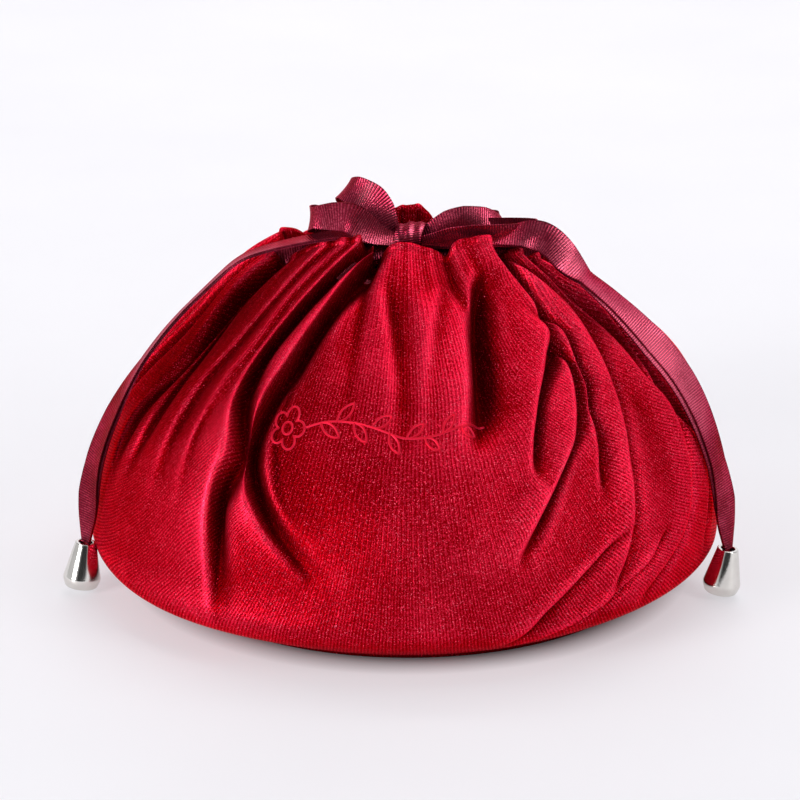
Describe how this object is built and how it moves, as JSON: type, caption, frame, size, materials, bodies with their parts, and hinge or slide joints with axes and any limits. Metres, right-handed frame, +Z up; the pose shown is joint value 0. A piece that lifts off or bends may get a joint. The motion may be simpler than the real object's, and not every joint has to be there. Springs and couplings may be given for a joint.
{
  "type": "drawstring gift pouch",
  "caption": "Round-based velvet pouch with a gathered mouth, closed by ribbon drawstrings tied in a bow over the top, their ends hanging at the sides in metal bells.",
  "frame": {"origin": "centre of the pouch's base, on the surface it stands on", "axes": "+X to the right of the front, -Y out of the front, +Z up"},
  "size_m": [0.22, 0.205, 0.1306],
  "materials": {
    "velvet": "red crushed velvet with a fine rib and a pink sheen at grazing angles",
    "lining": "thin satin lining, dark red",
    "board": "stiff base board between cloth layers",
    "ribbon": "wine grosgrain ribbon with a satin gloss and fine cross ribs",
    "bell_metal": "polished nickel plating"
  },
  "bodies": {
    "root": {"front_panel": "velvet", "back_panel": "velvet", "front_lining": "lining", "back_lining": "lining", "front_channel": "velvet", "back_channel": "velvet", "base_panel": "velvet", "base_board": "board", "base_lining": "lining", "bow_knot": "ribbon", "left_tail_outer_ply": "ribbon", "left_tail_inner_ply": "ribbon", "left_drawstring": "ribbon", "left_lead": "ribbon", "left_front_loop": "ribbon", "left_rear_loop": "ribbon", "right_tail_outer_ply": "ribbon", "right_tail_inner_ply": "ribbon", "right_drawstring": "ribbon", "right_lead": "ribbon", "right_front_loop": "ribbon", "right_rear_loop": "ribbon"},
    "left_tail_end": {"left_tail_end": "ribbon"},
    "left_bell": {"left_bell_shell": "bell_metal", "left_bell_plug": "bell_metal", "left_stopper_knot": "ribbon"},
    "right_tail_end": {"right_tail_end": "ribbon"},
    "right_bell": {"right_bell_shell": "bell_metal", "right_bell_plug": "bell_metal", "right_stopper_knot": "ribbon"}
  },
  "joints": [
    {"name": "left_tail_lift", "type": "hinge", "parent": "root", "child": "left_tail_end", "pos_m": [-0.10266, -0.02559, 0.036], "axis": [-0.2419, 0.9703, 0], "range_deg": [0, 75]},
    {"name": "left_bell_swing", "type": "hinge", "parent": "left_tail_end", "child": "left_bell", "pos_m": [-0.1044, -0.02603, 0.0169], "axis": [-0.2419, 0.9703, 0], "range_deg": [-8, 60]},
    {"name": "right_tail_lift", "type": "hinge", "parent": "root", "child": "right_tail_end", "pos_m": [0.10118, -0.03093, 0.036], "axis": [-0.2924, -0.9563, 0], "range_deg": [0, 75]},
    {"name": "right_bell_swing", "type": "hinge", "parent": "right_tail_end", "child": "right_bell", "pos_m": [0.10318, -0.03155, 0.0169], "axis": [-0.2924, -0.9563, 0], "range_deg": [0, 65]}
  ]
}
